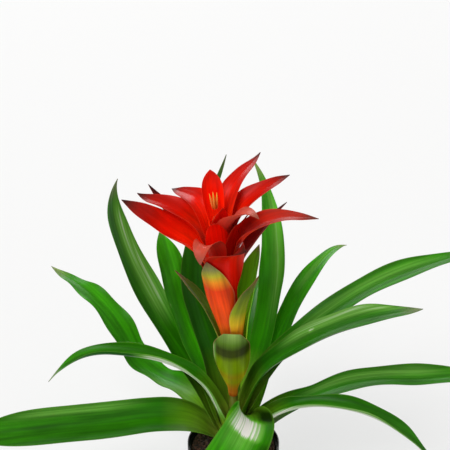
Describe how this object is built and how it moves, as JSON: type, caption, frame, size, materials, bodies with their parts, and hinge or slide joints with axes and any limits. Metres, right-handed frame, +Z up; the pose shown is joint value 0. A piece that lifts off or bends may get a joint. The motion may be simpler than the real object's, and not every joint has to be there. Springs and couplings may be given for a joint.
{
  "type": "potted bromeliad",
  "caption": "Flowering bromeliad in a round black nursery pot: arching strap leaves in a funnel, a leaning scape with green bracts and a star of pointed red bracts.",
  "frame": {"origin": "middle of the pot's flat underside", "axes": "+Z up along the pot's axis, +X to the viewer's right, -Y towards the viewer"},
  "size_m": [0.6579, 0.432, 0.4876],
  "materials": {
    "pot": "moulded black polypropylene, slightly satin",
    "soil": "dark composted bark chips, rough",
    "stem": "fleshy yellow-green stem, satin",
    "leaf": "smooth green leaf, satin with fine lengthwise veins",
    "green_bract": "green to olive bract, satin",
    "red_bract": "saturated red bract, satin, dark tip",
    "floret": "yellow-orange closed floret, satin"
  },
  "bodies": {
    "root": {"pot": "pot", "soil": "soil", "stem": "stem", "leaf_left_wavy": "leaf", "leaf_right_low": "leaf", "leaf_left_low": "leaf", "leaf_right_arch": "leaf", "leaf_back_low": "leaf", "leaf_back_mid": "leaf", "leaf_tall_left": "leaf", "leaf_right_back": "leaf", "leaf_back_left": "leaf", "leaf_back_tall": "leaf", "leaf_front": "leaf", "leaf_left_arch": "leaf", "leaf_right_upper": "leaf", "leaf_back": "leaf", "leaf_right_mid": "leaf", "scape_bract_front": "green_bract", "scape_bract_right_back": "green_bract", "scape_bract_left": "green_bract", "scape_bract_right": "green_bract", "scape_bract_left_front": "green_bract", "red_bract_front_right": "red_bract", "red_bract_left_back": "red_bract", "red_bract_right_back": "red_bract", "red_bract_back_low": "red_bract", "red_bract_left_low": "red_bract", "red_bract_right_low": "red_bract", "red_bract_right_inner": "red_bract", "red_bract_left_front": "red_bract", "red_bract_right_small": "red_bract", "red_bract_front": "red_bract", "red_bract_left_mid": "red_bract", "red_bract_right_upper": "red_bract", "red_bract_back_upper": "red_bract", "red_bract_back_tall": "red_bract", "red_bract_inner_front": "red_bract", "red_bract_hood": "red_bract", "florets": "floret"}
  },
  "joints": []
}
